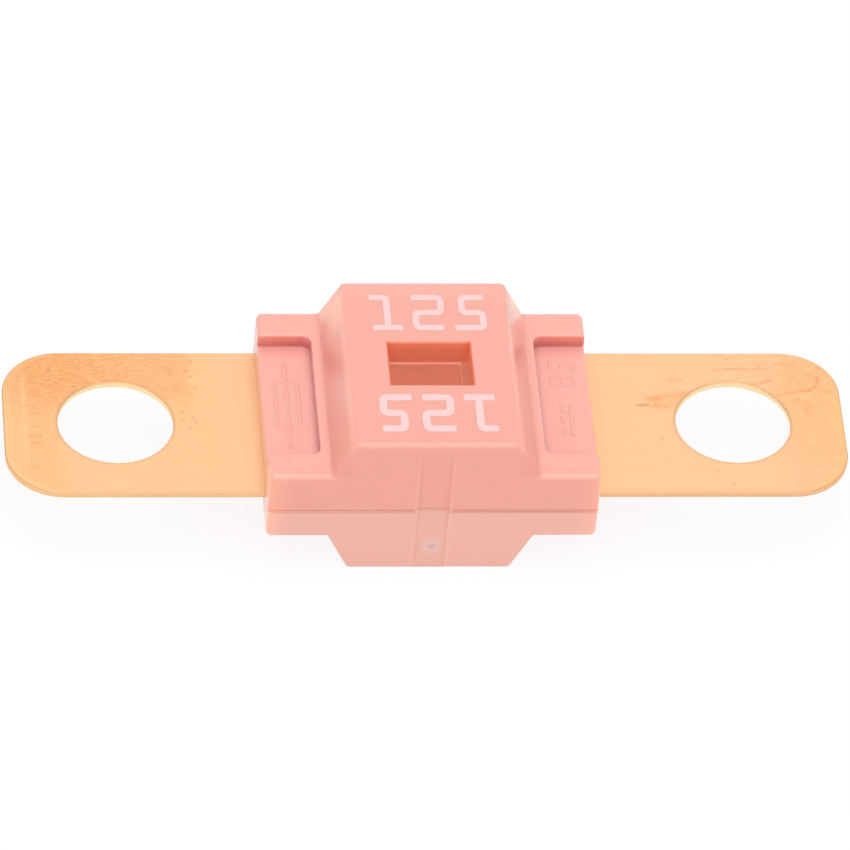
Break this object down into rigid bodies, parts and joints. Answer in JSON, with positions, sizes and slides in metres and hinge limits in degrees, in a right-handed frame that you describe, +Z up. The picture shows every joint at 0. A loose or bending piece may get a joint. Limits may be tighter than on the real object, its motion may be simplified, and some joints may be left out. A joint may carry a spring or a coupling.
{
  "type": "automotive fuse",
  "caption": "Bolt-down strip fuse with a moulded body around a flat copper strip that has a round bolt hole in each end.",
  "frame": {"origin": "midpoint between the bolt holes, at the middle of the strip's thickness", "axes": "+X along the strip, +Y across it, away from the face with the gate mark, +Z up, towards the face with the window"},
  "size_m": [0.0408, 0.0116, 0.0082],
  "materials": {
    "shell_plastic": "semi-gloss moulded, slightly translucent",
    "copper": "rolled sheet, satin, with light scuffs",
    "tin": "dull, once melted",
    "print_ink": "thin pad-printed ink"
  },
  "bodies": {
    "root": {"upper_shell": "shell_plastic", "lower_shell": "shell_plastic", "fuse_strip": "copper", "tin_spot": "tin"}
  },
  "joints": []
}
